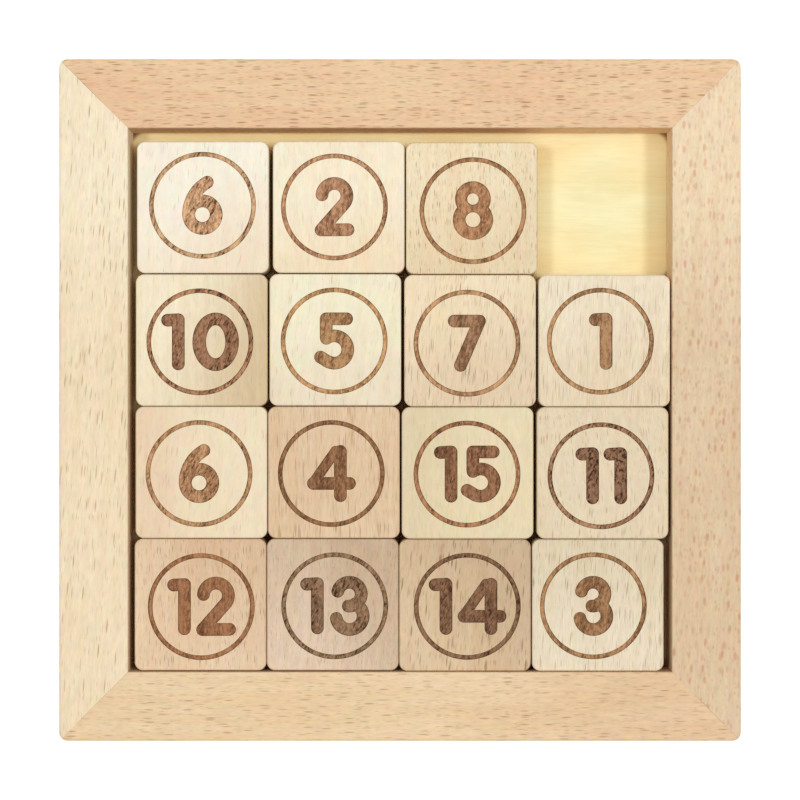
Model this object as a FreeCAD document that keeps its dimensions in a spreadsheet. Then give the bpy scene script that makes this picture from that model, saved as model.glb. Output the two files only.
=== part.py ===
"""A fifteen-tile sliding puzzle in wood, about 120 mm square.

Four mitred beech rails, pinned from below with steel V-nails, hold a plywood base panel in a rabbet.
Fifteen loose beech tiles, each engraved with a ring and a numeral, lie on the panel and leave one cell
of the four by four tray empty.

Units are millimetres.  +Z is up, +Y is the top edge as the numerals are read, and the origin is the
centre of the underside.
"""
import FreeCAD, Part
import math
import os

import Sketcher

DIMENSIONS = {
    # tray
    "frame_side": 120.0,
    "frame_height": 15.0,
    "rail_width": 12.15,
    "corner_radius": 1.5,
    "rim_round": 0.5,
    "lip_round": 0.3,
    "rabbet_width": 4.0,
    # base panel
    "panel_thickness": 3.0,
    "panel_sink": 0.4,
    "panel_play": 0.15,
    # V-nails
    "nail_inset": 4.0,
    "nail_leg": 4.0,
    "nail_gauge": 0.6,
    "nail_height": 7.0,
    "nail_sink": 0.3,
    # tiles
    "tile_side": 23.2,
    "tile_thickness": 10.6,
    "tile_corner_radius": 1.45,
    "tile_edge_round": 0.35,
    # engraving
    "engraving_depth": 0.4,
    "ring_radius": 9.0,
    "ring_line": 0.82,
    "stroke_width": 2.25,
}

RAIL_TURNS = {"rail_bottom": 0, "rail_right": 90, "rail_top": 180, "rail_left": 270}

# Tiles from the top row down, each row from the left; 0 is the empty cell.
LAYOUT = [
    [6, 2, 8, 0],
    [10, 5, 7, 1],
    [9, 4, 15, 11],
    [12, 13, 14, 3],
]

# Loose tiles never lie quite evenly: the gap on each tile's left and the gap below it.
LEFT_GAPS = {
    6: 1.5, 2: 0.75, 8: 0.25,
    10: 1.3, 5: 0.35, 7: 0.55, 1: 0.45,
    9: 1.25, 4: 0.15, 15: 0.35, 11: 0.6,
    12: 1.1, 13: 0.1, 14: 0.1, 3: 0.2,
}
LOW_GAPS = {
    6: 0.2, 2: 0.2, 8: 0.15,
    10: 0.1, 5: 0.15, 7: 0.1, 1: 0.1,
    9: 0.1, 4: 0.1, 15: 0.1, 11: 0.1,
    12: 0.2, 13: 0.2, 14: 0.1, 3: 0.1,
}

# How far each engraving sits off its tile's centre, to the right and up as the numeral is read.
ENGRAVING_DRIFT = {
    6: (-0.05, 0.35), 2: (-0.75, 0.0), 8: (0.2, -0.45),
    10: (-0.3, -0.3), 5: (-0.2, -0.2), 7: (-0.55, -0.45), 1: (-0.7, -0.1),
    9: (0.4, 0.2), 4: (-0.45, -0.2), 15: (-0.1, -0.2), 11: (-0.3, -0.5),
    12: (0.15, -0.35), 13: (0.35, -0.2), 14: (0.4, -0.2), 3: (-0.8, -0.1),
}

# The 9 lies in the tray turned half a turn, so that it reads as a second 6.
TURNED_TILES = {9: 180}

UP = FreeCAD.Vector(0, 0, 1)
TOLERANCE = 1e-4


# ---------------------------------------------------------------- sheet and sketch helpers

def make_sheet(doc):
    """Put every driving dimension in one spreadsheet, each cell under its own alias."""
    cells = dict(DIMENSIONS)
    for number in LEFT_GAPS:
        cells["left_gap_%02d" % number] = LEFT_GAPS[number]
        cells["low_gap_%02d" % number] = LOW_GAPS[number]
        cells["drift_right_%02d" % number] = ENGRAVING_DRIFT[number][0]
        cells["drift_up_%02d" % number] = ENGRAVING_DRIFT[number][1]
    sheet = doc.addObject("Spreadsheet::Sheet", "Sizes")
    for row, (alias, size) in enumerate(cells.items(), start=1):
        sheet.set("A%d" % row, alias)
        sheet.set("B%d" % row, str(size))
        sheet.setAlias("B%d" % row, alias)
    doc.recompute()
    return sheet


def bind(thing, path, formula):
    """Bind a property to a formula whose {names} are the sheet's aliases."""
    thing.setExpression(path, formula.replace("{", "Sizes.").replace("}", ""))


def new_body(doc, label, turn=0.0):
    body = doc.addObject("PartDesign::Body", label)
    body.Label = label
    body.Placement = FreeCAD.Placement(FreeCAD.Vector(), FreeCAD.Rotation(UP, turn))
    return body


def new_sketch(body, name, height="0"):
    """Start a sketch on the body's own XY plane, lifted by a formula."""
    plane = next(item for item in body.Origin.OriginFeatures if item.Role == "XY_Plane")
    sketch = body.newObject("Sketcher::SketchObject", name)
    sketch.AttachmentSupport = [(plane, "")]
    sketch.MapMode = "FlatFace"
    bind(sketch, "AttachmentOffset.Base.z", height)
    return sketch


def constrain(sketch, formula, *terms):
    """Add a dimension to a sketch and bind it to a formula."""
    index = sketch.addConstraint(Sketcher.Constraint(*terms, 1.0))
    bind(sketch, "Constraints[%d]" % index, formula)


def draw_polygon(sketch, corners):
    """Draw a closed polygon; each corner is a pair of formulas, measured from the sketch's origin.

    The lines start on a unit circle, and the constraints carry them to their places.
    """
    first = sketch.GeometryCount
    count = len(corners)
    start = [FreeCAD.Vector(math.cos(math.tau * k / count), math.sin(math.tau * k / count), 0)
             for k in range(count)]
    for k in range(count):
        sketch.addGeometry(Part.LineSegment(start[k], start[(k + 1) % count]), False)
    for k, (across, along) in enumerate(corners):
        line = first + k
        sketch.addConstraint(Sketcher.Constraint("Coincident", line, 2, first + (k + 1) % count, 1))
        constrain(sketch, across, "DistanceX", -1, 1, line, 1)
        constrain(sketch, along, "DistanceY", -1, 1, line, 1)


def draw_rectangle(sketch, left, right, low, high):
    draw_polygon(sketch, [(left, low), (right, low), (right, high), (left, high)])


def draw_circle(sketch, centre, radius):
    """Draw a circle from formulas for its centre and its radius."""
    circle = sketch.addGeometry(Part.Circle(FreeCAD.Vector(), UP, 1.0), False)
    constrain(sketch, centre[0], "DistanceX", -1, 1, circle, 3)
    constrain(sketch, centre[1], "DistanceY", -1, 1, circle, 3)
    constrain(sketch, radius, "Radius", circle)


def pad(body, sketch, length):
    feature = body.newObject("PartDesign::Pad", sketch.Name + "_pad")
    feature.Profile = sketch
    bind(feature, "Length", length)
    body.Document.recompute()
    return feature


def pocket(body, sketch, depth=None, upwards=False):
    """Cut a sketch into the body, down from its plane or upwards, and make sure that it cuts."""
    before = body.Shape.Volume
    feature = body.newObject("PartDesign::Pocket", sketch.Name + "_pocket")
    feature.Profile = sketch
    feature.Reversed = upwards
    if depth is None:
        feature.Type = "ThroughAll"
    else:
        bind(feature, "Length", depth)
    body.Document.recompute()
    if body.Shape.Volume > before - TOLERANCE:
        raise RuntimeError(feature.Name + " cuts nothing")
    return feature


def fillet(body, name, radius, is_wanted):
    """Round the edges of the body's last feature that a test picks out."""
    base = body.Tip
    edges = ["Edge%d" % number for number, edge in enumerate(base.Shape.Edges, start=1)
             if is_wanted(edge.BoundBox)]
    feature = body.newObject("PartDesign::Fillet", name)
    feature.Base = (base, edges)
    bind(feature, "Radius", radius)
    body.Document.recompute()
    return feature


def at_height(box, height):
    return abs(box.ZMin - height) < TOLERANCE and abs(box.ZMax - height) < TOLERANCE


# ---------------------------------------------------------------- tray

def make_rail(doc, sheet, label, turn):
    """One rail, drawn as the bottom one: rounded bar, mitred ends, rabbet and V-nail slots."""
    body = new_body(doc, label, turn)
    outer = "{frame_side} / 2"
    inner = "{frame_side} / 2 - {rail_width}"
    inner_face = -(sheet.frame_side / 2 - sheet.rail_width)

    plan = new_sketch(body, label + "_plan")
    draw_rectangle(plan, "-" + outer, outer, "-" + outer, "-(%s)" % inner)
    pad(body, plan, "{frame_height}")

    def is_outer_corner(box):
        return box.ZLength > 1 and box.YMax < inner_face - 1

    def is_lip(box):
        return at_height(box, sheet.frame_height) and abs(box.YMin - inner_face) < TOLERANCE

    def is_rim(box):
        return (at_height(box, sheet.frame_height) or at_height(box, 0)) and box.YMin < inner_face - 1

    fillet(body, label + "_corners", "{corner_radius}", is_outer_corner)
    fillet(body, label + "_lip", "{lip_round}", is_lip)
    fillet(body, label + "_rim", "{rim_round}", is_rim)

    mitres = new_sketch(body, label + "_mitres", "{frame_height}")
    far = "{frame_side}"
    back = "-{frame_side}"
    draw_polygon(mitres, [("0", "0"), (back, back), (back, far), (far, far), (far, back)])
    pocket(body, mitres)

    rabbet = new_sketch(body, label + "_rabbet")
    wall = "-(%s + {rabbet_width})" % inner
    draw_rectangle(rabbet, "-{frame_side}", "{frame_side}", wall, "0")
    pocket(body, rabbet, "{panel_sink} + {panel_thickness}", upwards=True)

    slots = new_sketch(body, label + "_nail_slots")
    draw_nail(slots, "-")
    draw_nail(slots, "")
    pocket(body, slots, "{nail_sink} + {nail_height}", upwards=True)
    return body


def draw_nail(sketch, side):
    """The V of one nail at a lower corner, its point towards the outside: '-' is left, '' is right."""
    point = "{frame_side} / 2 - {nail_inset}"
    tip = point + " - {nail_leg}"
    inside = point + " - {nail_gauge}"
    outline = [(point, point), (tip, point), (tip, inside), (inside, inside), (inside, tip), (point, tip)]
    draw_polygon(sketch, [("%s(%s)" % (side, across), "-(%s)" % along) for across, along in outline])


def make_nails(doc):
    """Four V-nails, each driven up across a mitre."""
    body = new_body(doc, "corner_v_nails")
    body.AllowCompound = True
    profile = new_sketch(body, "nail_profile", "{nail_sink}")
    draw_nail(profile, "-")
    nail = pad(body, profile, "{nail_height}")
    axis = next(item for item in body.Origin.OriginFeatures if item.Role == "Z_Axis")
    pattern = body.newObject("PartDesign::PolarPattern", "nail_pattern")
    pattern.Originals = [nail]
    pattern.Axis = (axis, [""])
    pattern.Angle = 360
    pattern.Occurrences = len(RAIL_TURNS)
    body.Tip = pattern
    doc.recompute()
    return body


def make_panel(doc):
    """Square plywood panel that lies in the rabbet and is the floor of the tray."""
    body = new_body(doc, "base_panel")
    reach = "{frame_side} / 2 - {rail_width} + {rabbet_width} - {panel_play}"
    plan = new_sketch(body, "panel_plan", "{panel_sink}")
    draw_rectangle(plan, "-(%s)" % reach, reach, "-(%s)" % reach, reach)
    pad(body, plan, "{panel_thickness}")
    return body


# ---------------------------------------------------------------- numerals

# Each numeral is drawn about its own centre, 10 mm high, with round-ended strokes of one width.
#   bar   straight stroke: start point, end point, and its share of the stroke width where it is thinner
#   bend  curved stroke: centre, radius of the middle line, start and end angle
#   bowl  filled circle with a round counter: centre, outer radius, counter's radius
STROKES = {
    "1": [
        ("bar", (1.0, 3.9), (1.0, -3.9)),
        ("bar", (1.0, 3.9), (-0.9, 3.8)),
    ],
    "2": [
        ("bend", (0.0, 1.95), 2.2, -42, 175),
        ("bar", (1.65, 0.5), (-2.35, -4.05)),
        ("bar", (-2.35, -4.05), (2.4, -4.0)),
    ],
    "3": [
        ("bend", (-0.05, 2.05), 2.1, -95, 166),
        ("bend", (0.0, -1.8), 2.38, -170, 65),
    ],
    "4": [
        ("bar", (1.6, 3.9), (1.6, -3.9)),
        ("bar", (0.75, 3.95), (-3.2, -1.65), 0.82),
        ("bar", (-3.15, -1.75), (3.2, -1.75)),
    ],
    "5": [
        ("bar", (-1.4, 3.9), (2.2, 3.9)),
        ("bar", (-1.4, 3.9), (-1.4, 0.7)),
        ("bend", (0.0, -1.5), 2.4, -125, 125),
        ("bar", (-1.4, -3.45), (-2.4, -2.85)),
    ],
    "6": [
        ("bowl", (0.0, -1.65), 3.55, 1.3),
        ("bend", (4.15, -1.65), 6.6, 120, 180),
    ],
    "7": [
        ("bar", (-2.25, 3.9), (2.2, 3.9)),
        ("bar", (2.2, 3.9), (-1.15, -3.9)),
    ],
}

# Room that a numeral takes across, and the space between a leading 1 and each second numeral.
WIDE_NUMERALS = {"0": 8.2, "1": 4.15, "2": 6.95, "3": 7.0, "4": 8.5, "5": 6.9}
SPACE_AFTER_ONE = {"0": 1.4, "1": 0.8, "2": 1.0, "3": 1.1, "4": 1.0, "5": 0.7}


def vector(point):
    return FreeCAD.Vector(point[0], point[1], 0)


def polar(centre, radius, degrees):
    angle = math.radians(degrees)
    return FreeCAD.Vector(centre[0] + radius * math.cos(angle), centre[1] + radius * math.sin(angle), 0)


def arc(centre, radius, start, end):
    """Counter-clockwise arc between two angles in degrees."""
    circle = Part.Circle(vector(centre), UP, radius)
    return Part.ArcOfCircle(circle, math.radians(start), math.radians(end))


def bar_outline(start, end, half):
    """Straight stroke with round ends."""
    heading = math.degrees(math.atan2(end[1] - start[1], end[0] - start[0]))
    return [
        arc(start, half, heading + 90, heading + 270),
        Part.LineSegment(polar(start, half, heading - 90), polar(end, half, heading - 90)),
        arc(end, half, heading - 90, heading + 90),
        Part.LineSegment(polar(end, half, heading + 90), polar(start, half, heading + 90)),
    ]


def bend_outline(centre, radius, start, end, half):
    """Curved stroke with round ends."""
    return [
        arc(centre, radius + half, start, end),
        arc(polar(centre, radius, end), half, end, end + 180),
        arc(centre, radius - half, start, end),
        arc(polar(centre, radius, start), half, start + 180, start + 360),
    ]


def bowl_outline(centre, outer, counter):
    return [Part.Circle(vector(centre), UP, outer), Part.Circle(vector(centre), UP, counter)]


def eight_outline():
    """Two round bowls that run into each other, with a counter in each."""
    upper, upper_radius, upper_counter = (0.0, 2.05), 3.15, 1.0
    lower, lower_radius, lower_counter = (0.0, -1.6), 3.55, 1.3
    apart = upper[1] - lower[1]
    waist_up = (lower_radius ** 2 - upper_radius ** 2 + apart ** 2) / (2 * apart)
    lower_turn = math.degrees(math.asin(waist_up / lower_radius))
    upper_turn = math.degrees(math.asin((apart - waist_up) / upper_radius))
    return [
        arc(upper, upper_radius, -upper_turn, 180 + upper_turn),
        arc(lower, lower_radius, 180 - lower_turn, 360 + lower_turn),
        Part.Circle(vector(upper), UP, upper_counter),
        Part.Circle(vector(lower), UP, lower_counter),
    ]


def oval(half_width, half_height):
    return Part.Ellipse(vector((0, half_height)), vector((-half_width, 0)), vector((0, 0)))


def zero_outline():
    """Upright oval ring."""
    return [oval(4.1, 5.15), oval(1.7, 2.9)]


def numeral_outlines(digit, half):
    """Closed outlines that together make one numeral, each cut as a pocket of its own."""
    if digit == "0":
        return [zero_outline()]
    if digit == "8":
        return [eight_outline()]
    if digit == "9":
        return [[turned(curve) for curve in outline] for outline in numeral_outlines("6", half)]
    makers = {
        "bar": lambda start, end, share=1: bar_outline(start, end, half * share),
        "bend": lambda centre, radius, start, end: bend_outline(centre, radius, start, end, half),
        "bowl": bowl_outline,
    }
    return [makers[kind](*terms) for kind, *terms in STROKES[digit]]


def turned(curve):
    """The same curve after half a turn about the numeral's centre."""
    curve.rotate(FreeCAD.Placement(FreeCAD.Vector(), FreeCAD.Rotation(UP, 180)))
    return curve


def digit_places(number):
    """Each digit of a number with its shift from the centre of the group."""
    digits = str(number)
    if len(digits) == 1:
        return [(digits, 0.0)]
    first, second = digits
    space = SPACE_AFTER_ONE[second]
    group = WIDE_NUMERALS[first] + space + WIDE_NUMERALS[second]
    return [
        (first, (WIDE_NUMERALS[first] - group) / 2),
        (second, (group - WIDE_NUMERALS[second]) / 2),
    ]


# ---------------------------------------------------------------- tiles

def make_tile(doc, sheet, number, across, along):
    """One loose tile with its engraved ring and numeral; its place is a pair of formulas."""
    label = "tile_%02d" % number
    body = new_body(doc, label, TURNED_TILES.get(number, 0))
    bind(body, "Placement.Base.x", across)
    bind(body, "Placement.Base.y", along)
    bind(body, "Placement.Base.z", "{panel_sink} + {panel_thickness}")

    half_side = "{tile_side} / 2"
    plan = new_sketch(body, label + "_plan")
    draw_rectangle(plan, "-" + half_side, half_side, "-" + half_side, half_side)
    pad(body, plan, "{tile_thickness}")
    fillet(body, label + "_corners", "{tile_corner_radius}", lambda box: box.ZLength > 1)
    fillet(body, label + "_edges", "{tile_edge_round}",
           lambda box: at_height(box, 0) or at_height(box, sheet.tile_thickness))

    drift_right = "{drift_right_%02d}" % number
    drift_up = "{drift_up_%02d}" % number
    ring = new_sketch(body, label + "_ring", "{tile_thickness}")
    draw_circle(ring, (drift_right, drift_up), "{ring_radius} + {ring_line} / 2")
    draw_circle(ring, (drift_right, drift_up), "{ring_radius} - {ring_line} / 2")
    pocket(body, ring, "{engraving_depth}")

    for place, (digit, shift) in enumerate(digit_places(number)):
        for stroke, outline in enumerate(numeral_outlines(digit, sheet.stroke_width / 2)):
            name = "%s_numeral_%d_%d" % (label, place, stroke)
            sketch = new_sketch(body, name, "{tile_thickness}")
            bind(sketch, "AttachmentOffset.Base.x", "%s + %s" % (drift_right, shift))
            bind(sketch, "AttachmentOffset.Base.y", drift_up)
            for curve in outline:
                sketch.addGeometry(curve, False)
            pocket(body, sketch, "{engraving_depth}")
    return body


def make_tiles(doc, sheet):
    """Lay the tiles out cell by cell, each one gap away from the tile on its left and the one below."""
    low_edge = "-({frame_side} / 2 - {rail_width})"
    tiles = []
    for row, numbers in enumerate(LAYOUT):
        for column, number in enumerate(numbers):
            if not number:
                continue
            from_left = numbers[:column + 1]
            from_below = [LAYOUT[r][column] for r in range(row, len(LAYOUT))]
            across = [low_edge, "{tile_side} * %s" % (len(from_left) - 0.5)]
            across += ["{left_gap_%02d}" % n for n in from_left]
            along = [low_edge, "{tile_side} * %s" % (len(from_below) - 0.5)]
            along += ["{low_gap_%02d}" % n for n in from_below]
            tiles.append(make_tile(doc, sheet, number, " + ".join(across), " + ".join(along)))
    return tiles


# ---------------------------------------------------------------- assembly and output

def check(doc, bodies):
    """Stop if any object failed or any sub-part isn't a sound solid."""
    for item in doc.Objects:
        if "Invalid" in item.State or "Error" in item.State:
            raise RuntimeError("%s is %s" % (item.Name, item.State))
    for body in bodies:
        if body.Shape.isNull() or not body.Shape.isValid():
            raise RuntimeError(body.Label + " has no valid shape")


def main():
    doc = FreeCAD.newDocument("sliding_puzzle")
    sheet = make_sheet(doc)
    bodies = [make_rail(doc, sheet, label, turn) for label, turn in RAIL_TURNS.items()]
    bodies.append(make_nails(doc))
    bodies.append(make_panel(doc))
    bodies += make_tiles(doc, sheet)
    doc.recompute()
    check(doc, bodies)

    os.makedirs("parts", exist_ok=True)
    for body in bodies:
        body.Shape.exportStep("parts/%s.step" % body.Label)
        print("%-16s %10.1f mm3" % (body.Label, body.Shape.Volume))


main()
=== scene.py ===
"""The looks of a wooden fifteen puzzle: a mitred beech tray of laser-engraved tiles, with one cell empty."""
import math

import bpy
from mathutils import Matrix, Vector


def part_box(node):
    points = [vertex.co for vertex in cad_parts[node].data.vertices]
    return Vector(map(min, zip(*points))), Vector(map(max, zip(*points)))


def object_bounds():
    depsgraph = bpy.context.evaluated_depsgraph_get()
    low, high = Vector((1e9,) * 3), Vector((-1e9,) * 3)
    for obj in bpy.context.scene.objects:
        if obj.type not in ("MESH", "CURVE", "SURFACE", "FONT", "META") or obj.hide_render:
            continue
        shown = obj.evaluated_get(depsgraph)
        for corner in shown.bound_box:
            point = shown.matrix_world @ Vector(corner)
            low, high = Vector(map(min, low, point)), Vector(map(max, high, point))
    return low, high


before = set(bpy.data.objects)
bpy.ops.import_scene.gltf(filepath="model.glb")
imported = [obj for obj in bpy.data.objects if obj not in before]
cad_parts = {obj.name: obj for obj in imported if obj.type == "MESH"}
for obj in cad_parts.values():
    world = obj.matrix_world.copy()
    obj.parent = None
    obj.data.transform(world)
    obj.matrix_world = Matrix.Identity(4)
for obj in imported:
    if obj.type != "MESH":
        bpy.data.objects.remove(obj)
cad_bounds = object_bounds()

# The studio, in metres
CAMERA_HEIGHT = 0.577        # of the camera above the rim of the tray
FRAME_SHARE = 0.853          # of the picture's width that the tray takes
SENSOR = 36.0                # width of the camera's sensor, in millimetres
FLOOR_SIZE = 6.0
SKY_STRENGTH = 0.32
WARM = (1.06, 0.99, 0.95)
COOL = (0.92, 1.01, 1.06)
# Each lamp: how far it leans from straight overhead towards +X and towards +Y, in degrees, how wide it looks
# from the tray, in degrees, its colour, and how much of its own colour it makes a surface that faces up show
LAMPS = {
    "overhead": (0.0, 0.0, 34.0, WARM, 0.32),
    "lamp_right": (21.0, 1.5, 8.0, COOL, 0.295),
    "lamp_left": (-16.0, 1.5, 8.0, COOL, 0.215),
}
LAMP_DISTANCE = 1.2

# How much brighter than its own colour a surface that faces up shows under all that light. The colours below
# are as they show, so each material divides by it.
LIGHT_LEVEL = 1.12

ENGRAVING_DEPTH = 0.4        # of the numerals and rings, in millimetres
ENGRAVING_REACH = 9.7        # how far from the ring's middle anything is engraved, in millimetres
NUMERAL_REACH = 8.0          # how far from the ring's middle its numeral stays, in millimetres
RING_START = 8.4             # how far from its middle the ring's own shade is full, in millimetres
BURN_TOP = 0.03              # how far below the tile's top the burnt colour starts and ends, in millimetres
BURN_BOTTOM = ENGRAVING_DEPTH + 0.1
# What the engraving's own colour is multiplied by: where it burnt least and most, in the ring, on top of the
# ring's own brightness, and in the charred specks, which lie this many degrees off the grain
LIGHT_BURN = (1.38, 1.41, 1.41)
DARK_BURN = (0.63, 0.56, 0.49)
RING_TINT = (1.0, 1.04, 1.0)
CHAR_TINT = (0.28, 0.20, 0.15, 1)
CHAR_SLANT = 25
# The engraving's floor is darker this close to its walls, in metres, down to this much of its colour: partly
# # a deeper burn and partly painted shade
FOOT_REACH = 0.00025
FOOT_SHADE = 0.62
PITS = 2.0                   # how deep the engraving's unevenness is, as a factor of the wood's

SIDE_LIGHT = (1.20, 1.20, 1.24, 1)  # painted light: what the upright faces' colour is multiplied by
INNER_WALL = 48.2            # how far out, in millimetres, the inner faces of the rails reach
# A mitre's hairline: how far from the joint it starts and how far it is full, in millimetres, how strong it
# is at most, from 0 to 1, and what it multiplies the rails' colour by
MITRE_EDGE = 0.14
MITRE_CORE = 0.03
MITRE_STRENGTH = 0.6
GLUE_TINT = (0.36, 0.24, 0.16, 1)

# Painted shade on the tray's floor: from how far off walls change its colour, in metres, and what they
# multiply it by, and the same as a painted shadow at the foot of a narrow gap between two walls
NOOK_REACH = 0.012
NOOK_SHADE = (1.06, 0.92, 0.80, 1)
GAP_REACH = 0.002
GAP_SHADOW = (0.26, 0.13, 0.06, 1)

WOOD_ROUGHNESS = 0.62
RAISED_GRAIN_ROUGHNESS = 0.72
BURN_ROUGHNESS = 0.85
# How many millimetres each material's height of 0 to 1 stands for
WOOD_RELIEF = 0.03
PLYWOOD_RELIEF = 0.02
STEEL_RELIEF = 0.01
PAPER_RELIEF = 0.005

# The two shades that a plain material drifts between
PLYWOOD_SHADES = ("F5F0C2", "F1E6B2")
STEEL_SHADES = ((0.42, 0.43, 0.45, 1), (0.60, 0.60, 0.61, 1))
PAPER_SHADES = ((0.88, 0.88, 0.88, 1), (0.92, 0.92, 0.92, 1))
PAPER_GLOW = 0.45

# Each pattern of noise: how often it repeats a millimetre, along the grain and across it, how many finer
# layers it has on top, and how strong each layer is beside the one before
PATTERNS = {
    "bend": (0.05, 0.09, 1.0, 0.5),
    "patches": (0.035, 0.10, 2.0, 0.5),
    "bands": (0.02, 0.7, 3.0, 0.5),
    "streaks": (0.40, 2.0, 4.0, 0.65),
    "fibres": (0.8, 9.0, 3.0, 0.6),
    "clouds": (0.35, 0.6, 3.0, 0.6),
    "clusters": (0.09, 0.16, 1.0, 0.5),
    "glue": (0.12, 0.12, 2.0, 0.5),
    "burnt_bands": (0.10, 0.50, 2.0, 0.5),
    "burnt_mottle": (1.2, 2.2, 3.0, 0.65),
    "burnt_fibres": (0.28, 2.6, 4.0, 0.65),
    "charred_specks": (0.9, 2.9, 2.0, 0.6),
    "plywood_bands": (0.05, 0.16, 3.0, 0.6),
    "plywood_fibres": (0.20, 2.4, 4.0, 0.65),
    "scratches": (0.6, 5.0, 4.0, 0.6),
    "paper_grain": (0.5, 0.5, 3.0, 0.5),
}

SEED_STEP = (37.0, 53.0, 19.0)  # how far apart in the wood pieces with seeds one apart lie, in millimetres
FIRST_RAIL_SEED = 1
PLYWOOD_SEED = 5
FIRST_TILE_SEED = 11

TO_MM = 1000.0


# ---------------------------------------------------------------- colours and nodes

def colour(code):
    """The linear colour that shows as a hex colour code under the studio light."""
    shown = [int(code[i:i + 2], 16) / 255 for i in (0, 2, 4)]
    linear = [c / 12.92 if c <= 0.04045 else ((c + 0.055) / 1.055) ** 2.4 for c in shown]
    return (*(c / LIGHT_LEVEL for c in linear), 1.0)


def add(tree, kind, inputs=None, **settings):
    """Adds a node. Each input is a value, or another node's output to link to it."""
    node = tree.nodes.new(kind)
    for name, value in settings.items():
        setattr(node, name, value)
    for socket, value in (inputs or {}).items():
        if isinstance(value, bpy.types.NodeSocket):
            tree.links.new(value, node.inputs[socket])
        else:
            node.inputs[socket].default_value = value
    return node


def math_of(tree, operation, *values):
    """The result of a Math node."""
    return add(tree, "ShaderNodeMath", dict(enumerate(values)), operation=operation).outputs[0]


def product(tree, *factors):
    """The product of several numbers."""
    result = factors[0]
    for factor in factors[1:]:
        result = math_of(tree, "MULTIPLY", result, factor)
    return result


def weighted(tree, *pairs):
    """The sum of several numbers, each multiplied by its weight."""
    total, *others = [product(tree, value, weight) for value, weight in pairs]
    for other in others:
        total = math_of(tree, "ADD", total, other)
    return total


def vector_of(tree, operation, *values):
    """The vector that a Vector Math node gives."""
    return add(tree, "ShaderNodeVectorMath", dict(enumerate(values)), operation=operation).outputs[0]


def number_of(tree, operation, *values):
    """The number that a Vector Math node gives."""
    inputs = dict(enumerate(values))
    return add(tree, "ShaderNodeVectorMath", inputs, operation=operation).outputs["Value"]


def ramp(tree, value, low, high, start=0.0, end=1.0):
    """Goes smoothly from start to end while a value goes from low to high."""
    inputs = {"Value": value, "From Min": low, "From Max": high, "To Min": start, "To Max": end}
    return add(tree, "ShaderNodeMapRange", inputs, interpolation_type="SMOOTHSTEP").outputs[0]


def mix(tree, amount, first, second, blend_type="MIX"):
    """Mixes two colours."""
    settings = {"data_type": "RGBA", "blend_type": blend_type}
    return add(tree, "ShaderNodeMix", {0: amount, 6: first, 7: second}, **settings).outputs[2]


def scaled(tree, shade, amount):
    """A colour made brighter or darker by a factor."""
    return add(tree, "ShaderNodeVectorMath", {0: shade, "Scale": amount}, operation="SCALE").outputs[0]


def stretched(tree, point, along, across):
    """Coordinates scaled by one factor along the grain and another across it."""
    return vector_of(tree, "MULTIPLY", point, (along, across, across))


def noise_node(tree, point, pattern):
    """A noise node that makes one of the patterns at a point."""
    along, across, detail, roughness = PATTERNS[pattern]
    point = stretched(tree, point, along, across)
    inputs = {"Vector": point, "Scale": 1.0, "Detail": detail, "Roughness": roughness}
    return add(tree, "ShaderNodeTexNoise", inputs)


def noise(tree, point, pattern):
    """One of the patterns as a number from 0 to 1."""
    return noise_node(tree, point, pattern).outputs[0]


def vector_noise(tree, point, pattern):
    """One of the patterns as a vector of three numbers from -0.5 to 0.5."""
    return vector_of(tree, "SUBTRACT", noise_node(tree, point, pattern).outputs["Color"], (0.5, 0.5, 0.5))


def openness(tree, reach, samples, **settings):
    """How much of a point's surroundings, up to a distance in metres, is open, from 0 to 1."""
    inputs = {"Distance": reach}
    return add(tree, "ShaderNodeAmbientOcclusion", inputs, samples=samples, **settings).outputs["AO"]


def new_material(name):
    """A material with an empty node tree."""
    material = bpy.data.materials.new(name)
    material.use_nodes = True
    material.node_tree.nodes.clear()
    return material


def surface(tree, shade, height, relief, roughness, **sockets):
    """Ends a tree in a Principled shader. relief is how many millimetres the height's 0 to 1 stands for."""
    bump = add(tree, "ShaderNodeBump", {"Height": height, "Strength": 1.0, "Distance": relief / TO_MM})
    inputs = {"Base Color": shade, "Roughness": roughness, "Normal": bump.outputs[0],
              "Specular IOR Level": 0.25}
    inputs.update(sockets)
    shader = add(tree, "ShaderNodeBsdfPrincipled", inputs)
    add(tree, "ShaderNodeOutputMaterial", {"Surface": shader.outputs[0]})


# ---------------------------------------------------------------- wood

def place(tree):
    """Where a point is in the model, in millimetres."""
    coordinates = add(tree, "ShaderNodeTexCoord").outputs["Object"]
    return vector_of(tree, "MULTIPLY", coordinates, (TO_MM, TO_MM, TO_MM))


def in_wood(tree, point, bearing, seed, waviness):
    """Where a point is in its own board, whose X runs with the grain, at a bearing from the model's X."""
    shift = [seed * step for step in SEED_STEP]
    turn = (0, 0, math.radians(-bearing))
    mapping = add(tree, "ShaderNodeMapping", {"Vector": point, "Rotation": turn, "Location": shift})
    board = mapping.outputs[0]
    bend = vector_of(tree, "MULTIPLY", vector_noise(tree, board, "bend"), (0, waviness, waviness))
    return vector_of(tree, "ADD", board, bend)


def flecks(tree, board, length, width, spread, rarity):
    """Short lines along the grain, each darker or fainter at random. spread is how far apart their places
    are, as a factor of their size, and rarity is how many of the places stay empty, from 0 to 1."""
    point = stretched(tree, board, 1 / (length * spread), 1 / (width * spread))
    cell = add(tree, "ShaderNodeTexVoronoi", {"Vector": point, "Scale": 1.0}, feature="F1")
    radius = 0.5 / spread
    shape = ramp(tree, cell.outputs["Distance"], radius * 1.1, radius * 0.4)
    pick = add(tree, "ShaderNodeSeparateColor", {"Color": cell.outputs["Color"]}).outputs[0]
    return math_of(tree, "MULTIPLY", shape, ramp(tree, pick, rarity - 0.2, 1.1))


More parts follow.
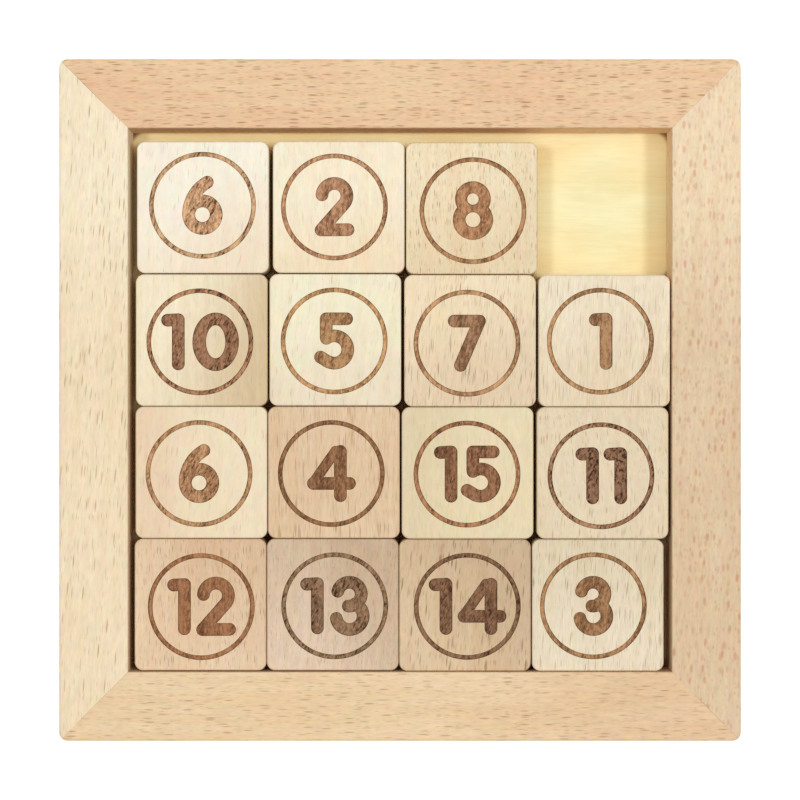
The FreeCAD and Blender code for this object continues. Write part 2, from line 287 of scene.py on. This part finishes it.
def beech(tree, board, look):
    """The colour and the height of sanded beech."""
    drift = weighted(tree, (noise(tree, board, "patches"), 0.5), (noise(tree, board, "bands"), 0.5))
    shade = mix(tree, ramp(tree, drift, 0.38, 0.62), colour(look["tone"]), colour(look["blush"]))

    grain = weighted(tree, (noise(tree, board, "streaks"), 0.65), (noise(tree, board, "fibres"), 0.35))
    shade = scaled(tree, shade, ramp(tree, grain, 0.33, 0.67, 1 - look["streak"], 1 + look["streak"]))

    clouds = vector_noise(tree, board, "clouds")
    clouds = vector_of(tree, "MULTIPLY_ADD", clouds, (look["cloud"],) * 3, (1, 1, 1))
    shade = vector_of(tree, "MULTIPLY", shade, clouds)

    length, width, spread = look["fleck_length"], look["fleck_width"], look["fleck_spread"]
    large = flecks(tree, board, length, width, spread, rarity=0.05)
    small = flecks(tree, board, length * 0.5, width * 0.6, spread, rarity=0.4)
    marks = math_of(tree, "MAXIMUM", large, product(tree, small, 0.7))
    marks = product(tree, marks, ramp(tree, noise(tree, board, "clusters"), 0.3, 0.6, 0.7, 1.0))
    shade = mix(tree, product(tree, marks, look["fleck"]), shade, (*look["fleck_tint"], 1), "MULTIPLY")
    return shade, math_of(tree, "SUBTRACT", product(tree, grain, 0.7), product(tree, marks, 0.3))


def turned(tree, shade, point, name, look):
    """Turns the wood's colour towards another tone on one side of the piece."""
    if "far" not in look:
        return shade
    heading, start, end = look["turn"]
    low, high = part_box(name)
    middle = (low + high) / 2 * TO_MM
    ahead = (math.cos(math.radians(heading)), math.sin(math.radians(heading)), 0)
    offset = vector_of(tree, "SUBTRACT", point, middle)
    along = number_of(tree, "DOT_PRODUCT", offset, ahead)
    change = [far / near for far, near in zip(colour(look["far"]), colour(look["tone"]))]
    return mix(tree, ramp(tree, along, start, end), shade, change, "MULTIPLY")


def sides_with_painted_light(tree, shade, where=1.0):
    """Paints light on the upright faces, turning them paler than the sanded top, wherever the mask is 1."""
    normal = add(tree, "ShaderNodeTexCoord").outputs["Normal"]
    tilt = math_of(tree, "ABSOLUTE", add(tree, "ShaderNodeSeparateXYZ", {0: normal}).outputs[2])
    return mix(tree, product(tree, ramp(tree, tilt, 0.6, 0.1), where), shade, SIDE_LIGHT, "MULTIPLY")


# How a piece of beech looks, unless its own look says otherwise:
#   tone, blush          the wood, and the shade that it drifts to in patches and bands
#   streak, cloud        how much streaks lighten and darken it, and how much blotches of other hues change it
#   fleck, fleck_tint    how strong its flecks are, and what they multiply its colour by
#   fleck_length, width  their size in millimetres, and fleck_spread how far apart they are, in such sizes
#   lean, waviness       how far the grain leans anticlockwise, in degrees, and wanders, in millimetres
#   burn, ring, char     the numeral's colour, how much brighter the ring is, and how strong the specks are
# Some pieces turn to a far tone on one side: turn is the heading of that side, in degrees anticlockwise from
# +X, and where along it, in millimetres from the piece's middle, the turn starts and ends.
BEECH = {
    "tone": "EBCDA5",
    "blush": "E4C096",
    "streak": 0.06,
    "cloud": 0.16,
    "fleck": 0.5,
    "fleck_tint": (0.52, 0.42, 0.32),
    "fleck_length": 2.4,
    "fleck_width": 0.30,
    "fleck_spread": 1.45,
    "lean": 0.0,
    "waviness": 0.8,
    "burn": "976B4C",
    "ring": 1.1,
    "char": 0.45,
}

RAIL_LOOKS = {
    "rail_top": {"tone": "EBCAA2", "blush": "E8C098", "streak": 0.07, "fleck": 1.0, "fleck_width": 0.33,
                 "fleck_spread": 1.3},
    "rail_left": {"tone": "F1DDBB", "blush": "EDD7B3", "far": "F7E8CA", "turn": (90, 5, 40), "streak": 0.07,
                  "lean": -4, "fleck": 0.9, "fleck_length": 3.2, "fleck_width": 0.32, "fleck_spread": 1.65,
                  "fleck_tint": (0.55, 0.45, 0.34)},
    "rail_right": {"tone": "E0C7A5", "blush": "DBBE9A", "far": "EFD8B5", "turn": (90, 5, 40), "streak": 0.08,
                   "lean": -2, "fleck": 0.75, "fleck_length": 1.9, "fleck_width": 0.75, "fleck_spread": 1.2,
                   "fleck_tint": (0.76, 0.50, 0.42)},
    "rail_bottom": {"tone": "EBCFA8", "blush": "E7C89D", "far": "E6C6A1", "turn": (0, 0, 50), "streak": 0.075,
                    "fleck": 0.8},
}

TILE_LOOKS = {
    "tile_01": {"tone": "EFE2C7", "blush": "EBDABD", "far": "E7D5B6", "turn": (-90, -10, 10), "streak": 0.075,
                "lean": -3, "fleck": 0.85, "fleck_length": 4.0, "fleck_width": 0.2, "burn": "A07956",
                "ring": 1.28},
    "tile_02": {"tone": "F7ECD1", "blush": "F5E5C6", "far": "F2DFBD", "turn": (-80, -4, 11), "streak": 0.045,
                "cloud": 0.2, "fleck": 0.25, "burn": "AD8161", "ring": 1.16, "char": 0.7},
    "tile_03": {"tone": "E0D0B2", "blush": "DCC9A7", "far": "E9DABF", "turn": (-90, -10, 8), "lean": -2,
                "fleck": 1.0, "fleck_length": 3.2, "fleck_width": 0.2, "burn": "9B7350", "ring": 1.18},
    "tile_04": {"tone": "E3C7A5", "blush": "DDBD97", "streak": 0.075, "fleck": 1.0, "fleck_length": 3.8,
                "fleck_width": 0.2, "burn": "8C6344", "ring": 1.14},
    "tile_05": {"tone": "F3EBCD", "blush": "EFE3C3", "far": "EDDFC3", "turn": (-85, -8, 11), "streak": 0.035,
                "cloud": 0.2, "lean": -5, "waviness": 2.5, "fleck": 0.45, "fleck_spread": 1.7,
                "burn": "A67E57", "ring": 1.34, "char": 0.7},
    "tile_06": {"tone": "F8F1DD", "blush": "F6EAD4", "far": "F3E4C9", "turn": (-60, -6, 13), "streak": 0.03,
                "cloud": 0.24, "lean": -5, "waviness": 2.5, "fleck": 0.4, "fleck_spread": 1.9,
                "burn": "CAA07A", "ring": 0.92, "char": 1.1},
    "tile_07": {"tone": "F1DFBE", "blush": "EFD9B5", "far": "E4CFB0", "turn": (-70, -11, 9), "lean": -5,
                "fleck": 1.0, "fleck_length": 3.2, "fleck_width": 0.22, "fleck_tint": (0.46, 0.37, 0.28),
                "burn": "997354", "ring": 1.54},
    "tile_08": {"tone": "F2E2C0", "blush": "EED8B2", "far": "E8D4AF", "turn": (-65, -11, 10), "fleck": 0.9,
                "fleck_length": 1.6, "fleck_width": 0.24, "burn": "AB7D59", "ring": 1.02},
    "tile_09": {"tone": "EAD1B2", "blush": "E8CCAB", "far": "EEDDBD", "turn": (0, -9, 0), "streak": 0.035,
                "cloud": 0.24, "lean": -5, "waviness": 2.5, "fleck": 0.4, "fleck_spread": 1.8,
                "burn": "B38762", "ring": 1.04, "char": 0.9},
    "tile_10": {"tone": "F5E8CB", "blush": "EFDFBE", "far": "DBC49E", "turn": (-20, -9, 13), "streak": 0.045,
                "fleck": 0.25, "burn": "936B4F", "ring": 1.45, "char": 1.4},
    "tile_11": {"tone": "E4D2B3", "blush": "E0CBA9", "lean": 4, "waviness": 6.0, "fleck": 0.65,
                "burn": "846149", "ring": 1.55, "char": 2.4},
    "tile_12": {"tone": "E9CFAE", "blush": "E4C5A1", "far": "DDBE9C", "turn": (45, -11, 12), "fleck": 0.9,
                "fleck_length": 1.9, "fleck_width": 0.2, "burn": "936545", "ring": 1.18},
    "tile_13": {"tone": "E3CAB0", "blush": "DCC2A6", "far": "CDB193", "turn": (45, -12, 12), "streak": 0.08,
                "cloud": 0.24, "lean": -3, "fleck": 0.55, "fleck_length": 1.5, "fleck_width": 0.22,
                "burn": "89694E", "ring": 1.14, "char": 1.3},
    "tile_14": {"tone": "DDC3A0", "blush": "D8BA94", "far": "CBB08E", "turn": (45, -12, 12), "streak": 0.07,
                "lean": -5, "fleck": 1.0, "fleck_length": 3.0, "fleck_width": 0.4,
                "fleck_tint": (0.44, 0.35, 0.27), "burn": "7E5B42", "ring": 1.15, "char": 0.9},
    "tile_15": {"tone": "E0CDA8", "blush": "DECBA3", "far": "E7D6B2", "turn": (-10, -10, 4), "streak": 0.045,
                "cloud": 0.2, "fleck": 0.25, "burn": "8D6346", "ring": 1.48, "char": 0.8},
}


def mitre_line(tree, point, board):
    """A hairline of glue and shade where two rails meet, along the tray's diagonals."""
    x, y, _ = add(tree, "ShaderNodeSeparateXYZ", {0: point}).outputs
    gap = math_of(tree, "SUBTRACT", math_of(tree, "ABSOLUTE", x), math_of(tree, "ABSOLUTE", y))
    line = ramp(tree, math_of(tree, "ABSOLUTE", gap), MITRE_EDGE, MITRE_CORE)
    return product(tree, line, ramp(tree, noise(tree, board, "glue"), 0.35, 0.7, 0.0, MITRE_STRENGTH))


def rail_material(name, bearing, seed, look):
    """Beech with its grain along the rail."""
    material = new_material(name + "_beech")
    tree = material.node_tree
    point = place(tree)
    board = in_wood(tree, point, bearing + look["lean"], seed, look["waviness"])
    shade, height = beech(tree, board, look)
    shade = turned(tree, shade, point, name, look)
    x, y, _ = add(tree, "ShaderNodeSeparateXYZ", {0: point}).outputs
    out = math_of(tree, "MAXIMUM", math_of(tree, "ABSOLUTE", x), math_of(tree, "ABSOLUTE", y))
    # Painted light on the inner faces of the rails
    shade = sides_with_painted_light(tree, shade, math_of(tree, "LESS_THAN", out, INNER_WALL))
    shade = mix(tree, mitre_line(tree, point, board), shade, GLUE_TINT, "MULTIPLY")
    roughness = ramp(tree, height, 0.1, 0.5, WOOD_ROUGHNESS, RAISED_GRAIN_ROUGHNESS)
    surface(tree, shade, height, WOOD_RELIEF, roughness)
    return material


def reach_of(tree, point, centre):
    """How far a point is from the ring's middle, seen from above."""
    away = vector_of(tree, "MULTIPLY", vector_of(tree, "SUBTRACT", point, centre), (1, 1, 0))
    return number_of(tree, "LENGTH", away)


def engraved(tree, point, reach, top):
    """1 inside the burnt lines, below the tile's top and within the ring, and 0 elsewhere."""
    z = add(tree, "ShaderNodeSeparateXYZ", {0: point}).outputs[2]
    below_top = math_of(tree, "LESS_THAN", z, top - BURN_TOP)
    above_bottom = math_of(tree, "GREATER_THAN", z, top - BURN_BOTTOM)
    return product(tree, below_top, above_bottom, math_of(tree, "LESS_THAN", reach, ENGRAVING_REACH))


def burnt(tree, board, look, reach):
    """The colour and the height of wood burnt by a laser: streaked along the grain, mottled, with charred
    specks, of another shade in the ring than in the numeral, and darkest along the foot of its walls, from a
    deeper burn there and from painted shade."""
    bands = noise(tree, board, "burnt_bands")
    mottle = noise(tree, board, "burnt_mottle")
    burn = weighted(tree, (bands, 0.26), (mottle, 0.46), (noise(tree, board, "burnt_fibres"), 0.28))
    middle = colour(look["burn"])
    light = (*(c * f for c, f in zip(middle, LIGHT_BURN)), 1)
    dark = (*(c * f for c, f in zip(middle, DARK_BURN)), 1)
    shade = mix(tree, ramp(tree, burn, 0.41, 0.59), light, dark)
    ring = (*(look["ring"] * part for part in RING_TINT), 1)
    shade = mix(tree, ramp(tree, reach, NUMERAL_REACH, RING_START), shade, ring, "MULTIPLY")

    rotation = (0, 0, math.radians(CHAR_SLANT))
    slant = add(tree, "ShaderNodeMapping", {"Vector": board, "Rotation": rotation}).outputs[0]
    specks = ramp(tree, noise(tree, slant, "charred_specks"), 0.54, 0.63)
    specks = product(tree, specks, ramp(tree, bands, 0.35, 0.62, 0.3, 1.0))
    shade = mix(tree, product(tree, specks, look["char"]), shade, CHAR_TINT, "MULTIPLY")

    # Painted shade, with a deeper burn, along the foot of the engraving's walls
    foot = openness(tree, FOOT_REACH, samples=8, only_local=True)
    shade = scaled(tree, shade, ramp(tree, foot, 0.5, 1.0, FOOT_SHADE, 1.03))
    return shade, math_of(tree, "SUBTRACT", mottle, specks)


def tile_material(name, seed, look):
    """Beech with its grain up the tile, and the burnt ring and numeral."""
    material = new_material(name + "_beech")
    tree = material.node_tree
    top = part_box(name)[1].z * TO_MM
    point = place(tree)
    board = in_wood(tree, point, 90 + look["lean"], seed, look["waviness"])
    shade, height = beech(tree, board, look)
    # Painted light on the tile's upright faces
    shade = sides_with_painted_light(tree, turned(tree, shade, point, name, look))
    reach = reach_of(tree, point, ring_centre(name, top))
    burn, pits = burnt(tree, board, look, reach)
    mask = engraved(tree, point, reach, top)
    shade = mix(tree, mask, shade, burn)
    height = math_of(tree, "ADD", height, product(tree, pits, mask, PITS))
    roughness = ramp(tree, mask, 0.0, 1.0, WOOD_ROUGHNESS, BURN_ROUGHNESS)
    surface(tree, shade, height, WOOD_RELIEF, roughness)
    return material


def ring_centre(name, top):
    """The middle of a tile's ring, in millimetres. The ring is the widest thing on the engraving's floor."""
    corners = [v.co * TO_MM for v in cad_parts[name].data.vertices]
    floor = [c for c in corners if abs(top - ENGRAVING_DEPTH - c.z) < 0.01]
    return tuple((min(c[i] for c in floor) + max(c[i] for c in floor)) / 2 for i in range(3))


def plywood_material():
    """Pale basswood plywood with its grain across the tray."""
    material = new_material("panel_basswood")
    tree = material.node_tree
    board = in_wood(tree, place(tree), bearing=0, seed=PLYWOOD_SEED, waviness=1.5)
    bands = noise(tree, board, "plywood_bands")
    shade = mix(tree, ramp(tree, bands, 0.35, 0.65), *map(colour, PLYWOOD_SHADES))
    fibres = noise(tree, board, "plywood_fibres")
    shade = scaled(tree, shade, ramp(tree, fibres, 0.3, 0.7, 0.955, 1.02))
    # Painted warm shade on the floor near walls
    nook = openness(tree, NOOK_REACH, samples=4)
    shade = mix(tree, ramp(tree, nook, 0.8, 0.3), shade, NOOK_SHADE, "MULTIPLY")
    # Painted dark shadow at the foot of narrow gaps between tiles and walls
    gap = openness(tree, GAP_REACH, samples=16)
    shade = mix(tree, ramp(tree, gap, 0.55, 0.38), shade, GAP_SHADOW, "MULTIPLY")
    surface(tree, shade, fibres, PLYWOOD_RELIEF, ramp(tree, fibres, 0.3, 0.7, 0.6, 0.7))
    return material


def steel_material():
    """Bright steel strip, drawn along its length."""
    material = new_material("nail_steel")
    tree = material.node_tree
    scratches = noise(tree, place(tree), "scratches")
    shade = mix(tree, scratches, *STEEL_SHADES)
    roughness = ramp(tree, scratches, 0.3, 0.7, 0.28, 0.45)
    surface(tree, shade, scratches, STEEL_RELIEF, roughness, Metallic=1.0)
    return material


# ---------------------------------------------------------------- the studio

def paper_material():
    """White paper, lit enough to lose nearly all shade."""
    material = new_material("studio_paper")
    tree = material.node_tree
    grain = noise(tree, place(tree), "paper_grain")
    shade = mix(tree, grain, *PAPER_SHADES)
    glow = {"Emission Color": (1, 1, 1, 1), "Emission Strength": PAPER_GLOW}
    surface(tree, shade, grain, PAPER_RELIEF, 0.8, **glow)
    return material


def make_floor():
    """A plain pale floor."""
    bpy.ops.mesh.primitive_plane_add(size=FLOOR_SIZE)
    floor = bpy.context.object
    floor.name = "floor"
    floor.data.materials.append(paper_material())


def make_lamps():
    """A wide lamp overhead and a smaller one high on either side."""
    for name, (lean_x, lean_y, width, lamp_colour, level) in LAMPS.items():
        towards = Vector((math.tan(math.radians(lean_x)), math.tan(math.radians(lean_y)), 1)).normalized()
        lamp = bpy.data.lights.new(name, "AREA")
        lamp.shape = "DISK"
        lamp.size = 2 * LAMP_DISTANCE * math.tan(math.radians(width / 2))
        lamp.color = lamp_colour
        # This much power gives the same light from any distance
        lamp.energy = level * (math.pi * LAMP_DISTANCE) ** 2 / towards.z
        holder = bpy.data.objects.new(name, lamp)
        holder.location = towards * LAMP_DISTANCE
        holder.rotation_euler = towards.to_track_quat("Z", "Y").to_euler()
        bpy.context.scene.collection.objects.link(holder)


def make_sky():
    """An even warm light from all around, whose own look is white."""
    world = bpy.data.worlds.new("studio_sky")
    world.use_nodes = True
    tree = world.node_tree
    tree.nodes.clear()
    lighting = add(tree, "ShaderNodeBackground", {"Color": (*WARM, 1), "Strength": SKY_STRENGTH})
    backdrop = add(tree, "ShaderNodeBackground", {"Color": (1, 1, 1, 1), "Strength": 1.0})
    seen = add(tree, "ShaderNodeLightPath").outputs["Is Camera Ray"]
    sky = add(tree, "ShaderNodeMixShader", {0: seen, 1: lighting.outputs[0], 2: backdrop.outputs[0]})
    add(tree, "ShaderNodeOutputWorld", {"Surface": sky.outputs[0]})
    bpy.context.scene.world = world


def make_camera():
    """Looks straight down on the middle of the tray."""
    low, high = cad_bounds
    data = bpy.data.cameras.new("camera")
    data.sensor_width = SENSOR
    data.lens = SENSOR * CAMERA_HEIGHT * FRAME_SHARE / (high.x - low.x)
    camera = bpy.data.objects.new("camera", data)
    camera.location = ((low.x + high.x) / 2, (low.y + high.y) / 2, high.z + CAMERA_HEIGHT)
    bpy.context.scene.collection.objects.link(camera)
    bpy.context.scene.camera = camera


# ---------------------------------------------------------------- making it

def dress(name, material):
    """Gives a CAD node its material."""
    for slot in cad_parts[name].material_slots:
        slot.material = material


def dress_all():
    """Every piece of wood has its own grain, from its own seed."""
    for seed, (name, look) in enumerate(RAIL_LOOKS.items(), FIRST_RAIL_SEED):
        bearing = 0 if name in ("rail_top", "rail_bottom") else 90
        dress(name, rail_material(name, bearing, seed, {**BEECH, **look}))
    for seed, (name, look) in enumerate(TILE_LOOKS.items(), FIRST_TILE_SEED):
        dress(name, tile_material(name, seed, {**BEECH, **look}))
    dress("base_panel", plywood_material())
    dress("corner_v_nails", steel_material())


make_camera()
make_lamps()
make_sky()
make_floor()
dress_all()
bpy.context.scene.view_settings.view_transform = "Standard"
